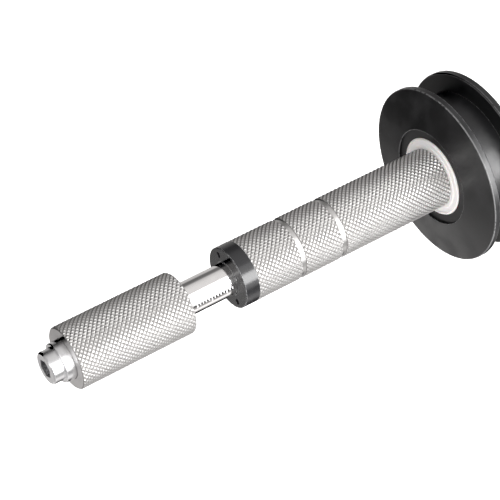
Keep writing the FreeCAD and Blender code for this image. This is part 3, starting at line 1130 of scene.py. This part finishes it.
@dataclass
class SubAssembly:
    """What the sub-assemblies share: the body they ride on and the finishes they are given."""

    finishes: dict[Slot, bpy.types.Material]

    def dress(self, piece: bpy.types.Object, slot: Slot) -> None:
        """Give a piece its finish.

        Args:
            piece: The piece.
            slot: Its finish.
        """
        piece.data.materials.clear()
        piece.data.materials.append(self.finishes[slot])

    def fit(self, piece: bpy.types.Object, node: str, body: Body, slot: Slot) -> None:
        """Dress a piece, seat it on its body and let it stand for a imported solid.

        Args:
            piece: The new piece.
            node: The solid that it stands for.
            body: The body that it rides on.
            slot: Its finish.
        """
        self.dress(piece, slot)
        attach(piece, body.value)
        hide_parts(node)
        faces = len(piece.data.polygons)
        LOG.info("%s: %d faces, %s, rides on %s", piece.name, faces, slot.value, body.value)


@dataclass
class GripAssembly(SubAssembly):
    """Everything that slides and turns with the left hand."""

    knurl: Knurl = field(default_factory=Knurl)
    sleeve_chamfer: float = 0.4
    end_face_depth: float = 0.35
    mouth_radius: float = 6.15
    counterbore_radius: float = 5.75
    web_bore_radius: float = 3.1
    rod_socket_fit: float = 0.02
    rod_socket_chamfer: float = 0.2
    rod_tap_depth: float = 12.0
    rod_tap_radius: float = 3.0
    spigot_radius: float = 3.5
    piston_tap_radius: float = 2.0
    piston_tap_end: float = -11.5
    nose_chamfer: float = 0.4
    nose_radius: float = 4.9
    nose_length: float = 3.5
    pilot_radius: float = 5.95
    boss_radius: float = 5.7
    thread_radius: float = 2.95
    hex_size: float = 5.0
    hex_depth: float = 4.0

    def grip_sleeve(self) -> None:
        """Knurled sleeve that the left hand holds."""
        room, rod, washer = map(Room.of, ("grip_sleeve", "slide_rod", "tip_lock_washer"))
        end_r = room.radius - self.sleeve_chamfer
        skin_r, seat_r = end_r - self.end_face_depth, self.counterbore_radius
        socket, chamfer = rod.radius + self.rod_socket_fit, self.rod_socket_chamfer
        profile = ((room.left, end_r), (room.left + self.sleeve_chamfer, room.radius),
                   (room.right - self.sleeve_chamfer, room.radius), (room.right, end_r))
        bore = (
            Corner(room.left, skin_r), Corner(room.left, self.mouth_radius, 0.05),
            Corner(room.left + self.mouth_radius - seat_r, seat_r, 0.05),
            Corner(washer.right, seat_r, 0.05), Corner(washer.right, self.web_bore_radius, 0.05),
            Corner(rod.left, self.web_bore_radius, 0.05), Corner(rod.left, socket, 0.05),
            Corner(room.right - chamfer, socket, 0.05), Corner(room.right, socket + chamfer, 0.05),
            Corner(room.right, skin_r),
        )
        piece = KnurledTube("knurled_grip_sleeve", self.knurl, profile, bore).build()
        self.fit(piece, "grip_sleeve", Body.GRIP, Slot.SILVER)

    def slide_rod(self) -> None:
        """Polished rod, tapped at its left end and spigoted at its right."""
        room, piston = Room.of("slide_rod"), Room.of("piston")
        tap_x, tap_r = room.left + self.rod_tap_depth, self.rod_tap_radius
        corners = (
            Corner(tap_x, 0), Corner(tap_x, tap_r),
            Corner(room.left, tap_r, 0.1), Corner(room.left, room.radius, 0.3),
            Corner(piston.left, room.radius, 0.3), Corner(piston.left, self.spigot_radius, 0.1),
            Corner(room.right, self.spigot_radius, 0.2),
            Corner(room.right, self.piston_tap_radius, 0.1),
            Corner(self.piston_tap_end, self.piston_tap_radius), Corner(self.piston_tap_end, 0),
        )
        piece = turned("polished_slide_rod", corners, closed=False)
        self.fit(piece, "slide_rod", Body.GRIP, Slot.ROD)

    def left_tip(self) -> None:
        """Stepped tip that enters the left dropout."""
        room, sleeve, washer = map(Room.of, ("left_tip", "grip_sleeve", "tip_lock_washer"))
        nose_root, chamfer = room.left + self.nose_length, self.nose_chamfer
        corners = (
            Corner(room.left, 0), Corner(room.left, self.nose_radius - chamfer, 0.12),
            Corner(room.left + chamfer, self.nose_radius, 0.2),
            Corner(nose_root, self.nose_radius, 0.1),
            Corner(nose_root, self.pilot_radius, 0.25),
            Corner(sleeve.left, self.pilot_radius, 0.08),
            Corner(sleeve.left, self.boss_radius), Corner(washer.left, self.boss_radius, 0.1),
            Corner(washer.left, self.thread_radius, 0.1),
            Corner(room.right, self.thread_radius, 0.5),
            Corner(room.right, 0),
        )
        piece = turned("stepped_left_tip", corners, closed=False)
        end = room.left
        carve(piece, [hex_cutter(end - CUTTER_REACH, end + self.hex_depth, self.hex_size)])
        self.fit(piece, "left_tip", Body.GRIP, Slot.PLAIN)

    def build(self) -> None:
        """Build the pieces that show."""
        self.grip_sleeve()
        self.slide_rod()
        self.left_tip()


@dataclass
class BarrelAssembly(SubAssembly):
    """Barrel with its end cap, spring and right tip."""

    knurl: Knurl = field(default_factory=Knurl)
    end_chamfer: float = 0.2
    end_face_depth: float = 0.45
    groove_first: float = 15.8
    groove_step: float = 14.5
    groove_width: float = 1.8
    groove_floor: float = 1.2
    groove_depth: float = 0.5
    cap_chamfer: float = 0.18
    cap_thread_radius: float = 7.5
    cap_thread_fit: float = 0.05
    cap_relief: float = 0.5
    bore_radius: float = 7.0
    axle_thread_radius: float = 6.5
    collar_radius: float = 7.5
    collar_length: float = 3.0
    lip_radius: float = 5.15
    lip_length: float = 1.0
    seal_width: float = 1.8
    seal_radius: float = 6.3
    land_length: float = 0.8
    bush_fit: float = 0.02
    pin_hole_radius: float = 0.8
    pin_hole_depth: float = 3.0
    pin_hole_mouth: float = 0.16
    pin_hole_tip: float = 0.45
    pin_circle_radius: float = 7.35
    pin_angle_deg: float = 40.0
    coil_count: int = 9
    closed_turns: float = 0.75
    wire_radius: float = 0.6
    washer_bore: float = 3.65
    washer_clearance: float = 0.02
    tip_thread_radius: float = 3.95
    nose_chamfer: float = 0.4
    nose_radius: float = 4.9
    nose_length: float = 6.5
    hex_size: float = 5.0
    hex_depth: float = 4.0

    def barrel(self) -> None:
        """Knurled tube with two smooth grooves."""
        room, cap, axle = Room.of("barrel"), Room.of("end_cap"), Room.of("stub_axle")
        floor_r = room.radius - self.groove_depth
        chamfer, skin_r = self.end_chamfer, room.radius - self.end_face_depth
        profile = [(room.left, room.radius - 0.5 * chamfer),
                   (room.left + 0.5 * chamfer, room.radius)]
        for i in range(2):
            x = room.left + self.groove_first + i * self.groove_step
            profile += [
                (x - self.groove_width / 2, room.radius), (x - self.groove_floor / 2, floor_r),
                (x + self.groove_floor / 2, floor_r), (x + self.groove_width / 2, room.radius)]
        profile += [(room.right - chamfer, room.radius), (room.right, room.radius - chamfer)]
        relief_x, collar_x = cap.right + self.cap_relief, room.right - self.collar_length
        bore = (
            Corner(room.left, skin_r), Corner(room.left, self.cap_thread_radius, 0.05),
            Corner(relief_x, self.cap_thread_radius), Corner(relief_x, self.bore_radius),
            Corner(axle.left, self.bore_radius), Corner(axle.left, self.axle_thread_radius),
            Corner(collar_x, self.axle_thread_radius), Corner(collar_x, self.collar_radius),
            Corner(room.right, self.collar_radius, 0.05), Corner(room.right, skin_r),
        )
        piece = KnurledTube("knurled_barrel", self.knurl, tuple(profile), bore).build()
        self.fit(piece, "barrel", Body.BARREL, Slot.SILVER)

    def end_cap(self) -> None:
        """Black cap with two holes for a pin spanner."""
        room, barrel, bush = Room.of("end_cap"), Room.of("barrel"), Room.of("cap_bush")
        groove_x = room.left + self.lip_length
        land_x = groove_x + self.seal_width
        bush_x = land_x + self.land_length
        bush_r = bush.radius + self.bush_fit
        thread_r = self.cap_thread_radius - self.cap_thread_fit
        chamfer = self.cap_chamfer
        corners = (
            Corner(room.left, self.lip_radius, 0.2),
            Corner(room.left, room.radius - chamfer, 0.06),
            Corner(room.left + chamfer, room.radius, 0.08), Corner(barrel.left, room.radius, 0.06),
            Corner(barrel.left, thread_r, 0.05), Corner(room.right, thread_r, 0.3),
            Corner(room.right, bush_r, 0.05), Corner(bush_x, bush_r),
            Corner(bush_x, self.lip_radius),
            Corner(land_x, self.lip_radius), Corner(land_x, self.seal_radius),
            Corner(groove_x, self.seal_radius), Corner(groove_x, self.lip_radius),
        )
        piece = turned("pin_spanner_end_cap", corners)
        carve(piece, [self._pin_cutter(room.left, self.pin_angle_deg + 180 * i) for i in range(2)])
        self.fit(piece, "end_cap", Body.BARREL, Slot.BLACK_METAL)

    def _pin_cutter(self, face: float, angle_deg: float) -> bpy.types.Object:
        """Cutter for one pin-spanner hole with a countersunk mouth.

        Args:
            face: Station of the cap's face.
            angle_deg: Where the hole is round the axle.

        Returns:
            The cutter.
        """
        mouth, radius = self.pin_hole_mouth, self.pin_hole_radius
        x0, x1 = face - CUTTER_REACH, face + self.pin_hole_depth
        points = [(x0, 0), (x0, radius + mouth), (face, radius + mouth), (face + mouth, radius),
                  (x1, radius), (x1 + self.pin_hole_tip, 0)]
        centre = around(0, self.pin_circle_radius, math.radians(angle_deg))
        return cutter(points, 48, centre)

    def spring(self) -> None:
        """Compression spring with closed, ground ends, which the follower presses together."""
        room = Room.of("spring")
        coil_r = room.radius - self.wire_radius
        turn_steps, wire_steps = 72, 14
        turns = self.coil_count + 2 * self.closed_turns
        run = room.right - room.left - 2 * self.wire_radius
        work = Workpiece()
        rings = []
        steps = round(turns * turn_steps)
        for k in range(steps + 1):
            turn = turns * k / steps
            share = min(max((turn - self.closed_turns) / self.coil_count, 0.0), 1.0)
            x = room.left + self.wire_radius + run * share
            ring = []
            for s in range(wire_steps):
                a = math.tau * s / wire_steps
                dx = self.wire_radius * math.sin(a)
                at = min(max(x + dx, room.left), room.right)
                ring.append(work.mesh.verts.new(
                    around(at, coil_r + self.wire_radius * math.cos(a), math.tau * turn)))
            rings.append(ring)
        for near, far in zip(rings, rings[1:]):
            for s in range(wire_steps):
                n = (s + 1) % wire_steps
                work.mesh.faces.new((near[s], near[n], far[n], far[s]))
        work.mesh.faces.new(rings[0])
        work.mesh.faces.new(rings[-1])
        piece = work.finish("ground_end_spring")
        self.span(piece, "spring", Slot.SPRING)

    def span(self, piece: bpy.types.Object, node: str, slot: Slot) -> None:
        """Dress a springy piece, bake its place into its mesh and hide its imported solid.

        Args:
            piece: The new piece.
            node: The solid that it stands for.
            slot: Its finish.
        """
        room = Room.of(node)
        self.dress(piece, slot)
        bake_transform(piece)
        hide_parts(node)
        faces = len(piece.data.polygons)
        LOG.info("%s: %d faces, %s, blends between %s and %s", piece.name, faces, slot.value,
                 Body.FOLLOWER.value, Body.BARREL.value)

    def thrust_washer(self) -> None:
        """Washer that the piston turns on, a hair clear of it."""
        room = Room.of("thrust_washer")
        left = room.left + self.washer_clearance
        corners = (
            Corner(left, self.washer_bore, 0.12), Corner(left, room.radius, 0.12),
            Corner(room.right, room.radius, 0.12), Corner(room.right, self.washer_bore, 0.12),
        )
        piece = turned("piston_thrust_washer", corners)
        self.fit(piece, "thrust_washer", Body.FOLLOWER, Slot.GUIDE_PLASTIC)

    def right_tip(self) -> None:
        """Flanged tip that enters the right dropout."""
        room, axle = Room.of("right_tip"), Room.of("stub_axle")
        contact, chamfer = room.right - self.nose_length, self.nose_chamfer
        corners = (
            Corner(room.left, 0), Corner(room.left, self.tip_thread_radius, 0.5),
            Corner(axle.right, self.tip_thread_radius, 0.05),
            Corner(axle.right, room.radius, 0.25),
            Corner(contact, room.radius, 0.3), Corner(contact, self.nose_radius, 0.12),
            Corner(room.right - chamfer, self.nose_radius, 0.2),
            Corner(room.right, self.nose_radius - chamfer, 0.12),
            Corner(room.right, 0),
        )
        piece = turned("flanged_right_tip", corners, closed=False)
        end = room.right
        carve(piece, [hex_cutter(end - self.hex_depth, end + CUTTER_REACH, self.hex_size)])
        self.fit(piece, "right_tip", Body.BARREL, Slot.PLAIN)

    def build(self) -> None:
        """Build the pieces that show, the spring and its washer."""
        self.barrel()
        self.end_cap()
        self.spring()
        self.thrust_washer()
        self.right_tip()


@dataclass
class Roller(SubAssembly):
    """Free-running chain roller: two flanges, a drum and two white bushes."""

    rim_thickness: float = 2.2
    recess_radius: float = 15.4
    inner_chamfer: float = 0.4
    bush_flange: float = 2.0
    bush_bore: float = 6.05
    bush_edge: float = 0.35
    bush_seat_fit: float = 0.05
    dish_depth: float = 0.15
    dish_inner_radius: float = 10.3
    dish_border: float = 0.8
    dish_slope: float = 0.08
    sleeve_radius: float = 8.48
    bush_gap: float = 1.0
    spigot_fit: float = 0.02
    screw_radius: float = 1.5
    screw_hole: float = 1.65
    head_radius: float = 2.8
    head_height: float = 1.6
    head_fit: float = 0.15
    head_edge: float = 0.15
    screw_hex: float = 2.0
    screw_hex_depth: float = 1.1
    screw_count: int = 3

    def middle(self) -> float:
        """Station of the roller's middle plane."""
        drum = Room.of("chain_drum")
        return 0.5 * (drum.left + drum.right)

    def _flange(
        self, name: str, inside: float, hub: float, radius: float
    ) -> bpy.types.Object:
        """Turn one conical-faced flange.

        Args:
            name: The piece's name.
            inside: Station of its flat face.
            hub: Station of its conical face's inner edge.
            radius: Rim radius.

        Returns:
            The flange.
        """
        out = math.copysign(1.0, hub - inside)
        rim = inside + out * self.rim_thickness
        corners = (
            Corner(inside, self.recess_radius, 0.05),
            Corner(inside, radius - self.inner_chamfer, 0.12),
            Corner(inside + out * self.inner_chamfer, radius, 0.12), Corner(rim, radius, 0.28),
            Corner(hub, self.recess_radius, 0.14),
        )
        return turned(name, corners)

    def inner_flange(self) -> None:
        """Flange that faces the barrel."""
        room = Room.of("inner_flange")
        piece = self._flange("conical_inner_flange", room.right, room.left, room.radius)
        self.fit(piece, "inner_flange", Body.ROLLER, Slot.BLACK_PLASTIC)

    def _screw_places(self) -> list[Vector]:
        """Where the screws are round the axle.

        Returns:
            Their centres, in metres.
        """
        count, circle = self.screw_count, Room.of("flange_screws").radius - self.head_radius
        return [around(0, circle, math.tau * i / count) for i in range(count)]

    def outer_flange(self) -> None:
        """Flange that faces the dropout, countersunk for the screws."""
        room, screws = Room.of("outer_flange"), Room.of("flange_screws")
        piece = self._flange("conical_outer_flange", room.left, room.right, room.radius)
        top, mouth = screws.right, self.head_radius + self.head_fit
        x0, x1 = room.left - CUTTER_REACH, room.right + CUTTER_REACH
        points = [(x0, 0), (x0, self.screw_hole), (top - self.head_height, self.screw_hole),
                  (top, mouth), (x1, mouth), (x1, 0)]
        carve(piece, [cutter(points, 72, place) for place in self._screw_places()])
        self.fit(piece, "outer_flange", Body.ROLLER, Slot.BLACK_PLASTIC)

    def chain_drum(self) -> None:
        """Floor of the chain groove, whose spigots close the two recesses."""
        room, inner, outer = map(Room.of, ("chain_drum", "inner_flange", "outer_flange"))
        left_bush, right_bush = map(Room.of, ("inner_bush", "outer_bush"))
        spigot_r = self.recess_radius - self.spigot_fit
        bore_r = self.sleeve_radius + self.spigot_fit
        seat_r = left_bush.radius + self.bush_seat_fit
        left_seat = left_bush.left + self.bush_flange
        right_seat = right_bush.right - self.bush_flange
        corners = (
            Corner(left_seat, bore_r, 0.1), Corner(left_seat, seat_r),
            Corner(room.left, seat_r, 0.05), Corner(room.left, spigot_r, 0.05),
            Corner(inner.right, spigot_r), Corner(inner.right, room.radius, 0.15),
            Corner(outer.left, room.radius, 0.15), Corner(outer.left, spigot_r),
            Corner(room.right, spigot_r, 0.05), Corner(room.right, seat_r, 0.05),
            Corner(right_seat, seat_r), Corner(right_seat, bore_r, 0.1),
        )
        piece = turned("spigoted_chain_drum", corners)
        self.fit(piece, "chain_drum", Body.ROLLER, Slot.BLACK_PLASTIC)

    def _bush(self, name: str, node: str, face: float) -> None:
        """Turn one flanged bush, with a raised rim and a raised land round its bore.

        Args:
            name: The piece's name.
            node: The solid that it stands for.
            face: Station of its flange face.
        """
        inward = math.copysign(1.0, self.middle() - face)
        radius = Room.of(node).radius
        back = face + inward * self.bush_flange
        end = self.middle() - inward * 0.5 * self.bush_gap
        dish, slope = face + inward * self.dish_depth, self.dish_slope
        land_r, rim_r = self.dish_inner_radius, radius - self.dish_border
        corners = (
            Corner(face, self.bush_bore, 0.2), Corner(face, land_r, 0.06),
            Corner(dish, land_r + slope, 0.05), Corner(dish, rim_r - slope, 0.05),
            Corner(face, rim_r, 0.06), Corner(face, radius - self.bush_edge, 0.1),
            Corner(face + inward * self.bush_edge, radius, 0.1),
            Corner(back, radius, 0.12), Corner(back, self.sleeve_radius, 0.1),
            Corner(end, self.sleeve_radius, 0.25), Corner(end, self.bush_bore, 0.2),
        )
        self.fit(turned(name, corners), node, Body.ROLLER, Slot.WHITE_PLASTIC)

    def flange_screws(self) -> None:
        """Three countersunk screws with hexagon sockets, as one node of separate solids."""
        room = Room.of("flange_screws")
        top = room.right
        corners = (
            Corner(room.left, 0), Corner(room.left, self.screw_radius, 0.3),
            Corner(top - self.head_height, self.screw_radius, 0.1),
            Corner(top - self.head_edge, self.head_radius, 0.06),
            Corner(top, self.head_radius, 0.1), Corner(top, 0),
        )
        screw = turned("screw", corners, closed=False)
        carve(screw, [hex_cutter(top - self.screw_hex_depth, top + CUTTER_REACH, self.screw_hex)])
        work = bmesh.new()
        for place in self._screw_places():
            copy = screw.data.copy()
            copy.transform(Matrix.Translation(place))
            work.from_mesh(copy)
            bpy.data.meshes.remove(copy)
        bpy.data.objects.remove(screw)
        data = bpy.data.meshes.new("countersunk_flange_screws")
        work.to_mesh(data)
        work.free()
        shade(data)
        self.fit(put(data.name, data), "flange_screws", Body.ROLLER, Slot.STEEL)

    def build(self) -> None:
        """Build the pieces."""
        self.inner_flange()
        self.chain_drum()
        self.outer_flange()
        self.flange_screws()
        self._bush("white_inner_bush", "inner_bush", Room.of("inner_bush").left)
        self._bush("white_outer_bush", "outer_bush", Room.of("outer_bush").right)


CARRIED_OVER: dict[str, Slot] = {
    "tip_lock_washer": Slot.STEEL,
    "stop_bumper": Slot.RUBBER,
    "piston": Slot.PLAIN,
    "wear_ring": Slot.GUIDE_PLASTIC,
    "piston_screw": Slot.STEEL,
    "cap_bush": Slot.GUIDE_PLASTIC,
    "wiper_ring": Slot.RUBBER,
    "spring_seat": Slot.GUIDE_PLASTIC,
    "stub_axle": Slot.STEEL,
}


class InnerPieces(SubAssembly):
    """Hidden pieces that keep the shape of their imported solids."""

    def build(self) -> None:
        """Give each piece its finish."""
        for node, slot in CARRIED_OVER.items():
            self.dress(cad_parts[node], slot)
            LOG.info("%s: packed solid, %s", node, slot.value)


# ---- studio ----------------------------------------------------------------------------------


@dataclass(frozen=True)
class Softbox:
    """A rectangular studio light that faces the hub."""

    name: str
    toward: tuple[float, float, float]
    distance: float
    width: float
    height: float
    power: float

    def place(self, target: Vector) -> None:
        """Put the light up.

        Args:
            target: What it faces, in metres.
        """
        data = bpy.data.lights.new(self.name, "AREA")
        data.shape = "RECTANGLE"
        data.size, data.size_y = self.width, self.height
        data.energy = self.power
        light = put(self.name, data)
        direction = Vector(self.toward).normalized()
        light.location = target + direction * self.distance
        light.rotation_euler = direction.to_track_quat("Z", "Y").to_euler()


@dataclass(frozen=True)
class RoomPatch:
    """A round patch of the room that is darker or lighter, with a soft border."""

    toward: tuple[float, float, float]
    inner_deg: float
    outer_deg: float
    change: float


@dataclass(frozen=True)
class Studio:
    """Plain pale floor, soft light and the camera."""

    floor_below: float = 0.19
    floor_reach: float = 3.0
    floor_colour: Colour = (0.82, 0.82, 0.82)
    floor_roughness: float = 0.9
    floor_gloss: float = 0.1
    floor_glow: float = 0.45
    room_colour: Colour = (0.95, 0.93, 0.92)
    room_strength: float = 0.62
    patches: tuple[RoomPatch, ...] = (
        RoomPatch((0.40, -0.77, -0.50), 8.0, 18.0, -0.55),
        RoomPatch((0.40, -0.45, -0.80), 3.0, 8.0, 0.3),
        RoomPatch((0.401, 0.174, -0.90), 8.0, 28.0, -0.6),
        RoomPatch((0.401, 0.769, 0.498), 3.0, 22.0, -0.45),
        RoomPatch((-0.5, 0.8, -0.35), 16.0, 36.0, -0.6),
        RoomPatch((-0.3, 0.35, -0.9), 5.0, 25.0, 0.6),
        RoomPatch((0.4, -0.2, 0.9), 5.0, 50.0, 0.25),
        RoomPatch((-0.2, 0.95, 0.25), 20.0, 36.0, -0.62),
        RoomPatch((0.8, 0.58, -0.1), 12.0, 27.0, -0.62),
        RoomPatch((0.0, -0.6, -0.8), 12.0, 36.0, 0.6),
    )
    backdrop_strength: float = 1.05
    azimuth_deg: float = -34.75
    elevation_deg: float = 45.3
    camera_distance: float = 0.5397
    target: tuple[float, float, float] = (-0.0086, 0.0057, 0.0)
    lens_mm: float = 133.92
    clip_start: float = 0.01
    softboxes: tuple[Softbox, ...] = (
        Softbox("wide_softbox", (0.40, -0.83, 0.38), 0.9, 1.6, 1.38, 10.0),
        Softbox("key_softbox", (0.40, -0.86, 0.33), 0.88, 1.2, 0.5, 22.0),
        Softbox("fill_softbox", (-0.75, -0.35, 0.55), 1.0, 0.8, 0.8, 4.0),
    )

    def floor(self) -> None:
        """Lay the floor."""
        low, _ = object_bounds()
        height = low.z - self.floor_below
        reach = self.floor_reach
        data = bpy.data.meshes.new("floor")
        corners = [(reach * x, reach * y, height) for x, y in ((-1, -1), (1, -1), (1, 1), (-1, 1))]
        data.from_pydata(corners, [], [(0, 1, 2, 3)])
        material = bpy.data.materials.new("floor")
        material.use_nodes = True
        graph = Graph(material.node_tree)
        shader = material.node_tree.nodes["Principled BSDF"]
        shader.inputs["Base Color"].default_value = opaque(self.floor_colour)
        shader.inputs["Roughness"].default_value = self.floor_roughness
        shader.inputs["Specular IOR Level"].default_value = self.floor_gloss
        shader.inputs["Emission Color"].default_value = (1, 1, 1, 1)
        seen = graph.add("ShaderNodeLightPath").outputs["Is Camera Ray"]
        glow = graph.calc("MULTIPLY", seen, self.floor_glow)
        graph.feed(shader.inputs["Emission Strength"], glow)
        data.materials.append(material)
        floor = put("floor", data)
        floor.visible_glossy = False
        floor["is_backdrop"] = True

    def world(self) -> None:
        """Fill the room with soft light, paler where the camera looks straight at it."""
        world = bpy.data.worlds.new("studio")
        bpy.context.scene.world = world
        world.use_nodes = True
        graph = Graph(world.node_tree)
        background = world.node_tree.nodes["Background"]
        background.inputs["Color"].default_value = opaque(self.room_colour)
        toward = graph.add("ShaderNodeTexCoord").outputs["Generated"]
        strength: Value = self.room_strength
        for patch in self.patches:
            facing = graph.add("ShaderNodeVectorMath", operation="DOT_PRODUCT")
            graph.feed(facing.inputs[0], toward)
            facing.inputs[1].default_value = Vector(patch.toward).normalized()
            outer, inner = (math.cos(math.radians(a)) for a in (patch.outer_deg, patch.inner_deg))
            share = graph.step(facing.outputs["Value"], outer, inner)
            strength = graph.calc("ADD", strength, graph.calc("MULTIPLY", share, patch.change))
        seen = graph.add("ShaderNodeLightPath").outputs["Is Camera Ray"]
        unseen = graph.calc("SUBTRACT", 1.0, seen)
        graph.feed(background.inputs["Strength"], graph.calc(
            "ADD", graph.calc("MULTIPLY", unseen, strength),
            graph.calc("MULTIPLY", seen, self.backdrop_strength)))

    def camera(self) -> None:
        """Set the camera up."""
        azimuth, elevation = math.radians(self.azimuth_deg), math.radians(self.elevation_deg)
        back = Vector((math.sin(azimuth) * math.cos(elevation),
                       -math.cos(azimuth) * math.cos(elevation), math.sin(elevation)))
        data = bpy.data.cameras.new("camera")
        data.lens = self.lens_mm
        data.clip_start = self.clip_start
        camera = put("camera", data)
        camera.location = Vector(self.target) + back * self.camera_distance
        camera.rotation_euler = back.to_track_quat("Z", "Y").to_euler()
        bpy.context.scene.camera = camera

    def build(self) -> None:
        """Build the whole studio."""
        self.floor()
        self.world()
        for softbox in self.softboxes:
            softbox.place(Vector(self.target))
        self.camera()
        bpy.context.scene.view_settings.view_transform = "Standard"
        LOG.info("studio: floor, room, %d softboxes and camera", len(self.softboxes))


def make_finishes(knurl: Knurl) -> dict[Slot, bpy.types.Material]:
    """Build each finish once.

    Args:
        knurl: The knurl, whose depth the bright finish shades.

    Returns:
        The materials by slot.
    """
    effects = Effects()
    past_sleeve, before_cap = 3.0, 1.0
    cap, sleeve = Room.of("end_cap"), Room.of("grip_sleeve")
    finishes: tuple[Finish, ...] = (
        # The knurl's darker valley colour is dirt and painted shade.
        KnurledAluminium(Slot.SILVER, (0.62, 0.61, 0.605), 0.3, Room.of("barrel").radius,
                         knurl.depth, valley_dirt_and_shade_colour=(0.26, 0.255, 0.25)),
        TurnedMetal(Slot.PLAIN, (0.72, 0.72, 0.73), 0.24),
        # Black metal: its pale chamfer colour is scuffing and also a painted highlight along the
        # edge.
        TurnedMetal(Slot.BLACK_METAL, (0.012, 0.012, 0.013), 0.2, line_pitch=0.1,
                    line_depth=0.001, metallic=0.0, wear_and_highlight_colour=(0.22, 0.22, 0.225), wear=0.6),
        GraduatedRod(Slot.ROD, (0.88, 0.87, 0.865), 0.07,
                     scale_from=sleeve.right + past_sleeve, scale_to=cap.left - before_cap),
        TurnedMetal(Slot.STEEL, (0.56, 0.56, 0.57), 0.26),
        TurnedMetal(Slot.SPRING, (0.45, 0.45, 0.47), 0.3, line_pitch=0.3, line_shade=0.1),
        # Black plastic: its pale chamfer colour is scuffing and also a painted highlight along the
        # edge.
        MouldedPlastic(Slot.BLACK_PLASTIC, (0.005, 0.005, 0.0055), 0.3, wear=0.6,
                       wear_and_highlight_colour=(0.11, 0.11, 0.112), smudge_roughness=0.14, smudge_shade=0.9),
        MouldedPlastic(Slot.WHITE_PLASTIC, (0.76, 0.745, 0.73), 0.38, ring_pitch=0.42,
                       ring_depth=0.014, ring_shade=0.14, wear_and_highlight_colour=(0.9, 0.89, 0.88),
                       subsurface=0.15),
        MouldedPlastic(Slot.GUIDE_PLASTIC, (0.62, 0.6, 0.55), 0.4, wear_and_highlight_colour=(0.72, 0.7, 0.66)),
        MouldedPlastic(Slot.RUBBER, (0.02, 0.02, 0.02), 0.7, grain_depth=0.02,
                       wear_and_highlight_colour=(0.05, 0.05, 0.05)),
    )
    return {finish.slot: finish.build(effects) for finish in finishes}


def main() -> None:
    """Build the hub and its studio."""
    logging.basicConfig(level=logging.INFO, format="%(message)s")
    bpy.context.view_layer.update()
    knurl = Knurl()
    finishes = make_finishes(knurl)
    GripAssembly(finishes, knurl).build()
    BarrelAssembly(finishes, knurl).build()
    Roller(finishes).build()
    InnerPieces(finishes).build()
    Studio().build()


if __name__ == "__main__":
    main()
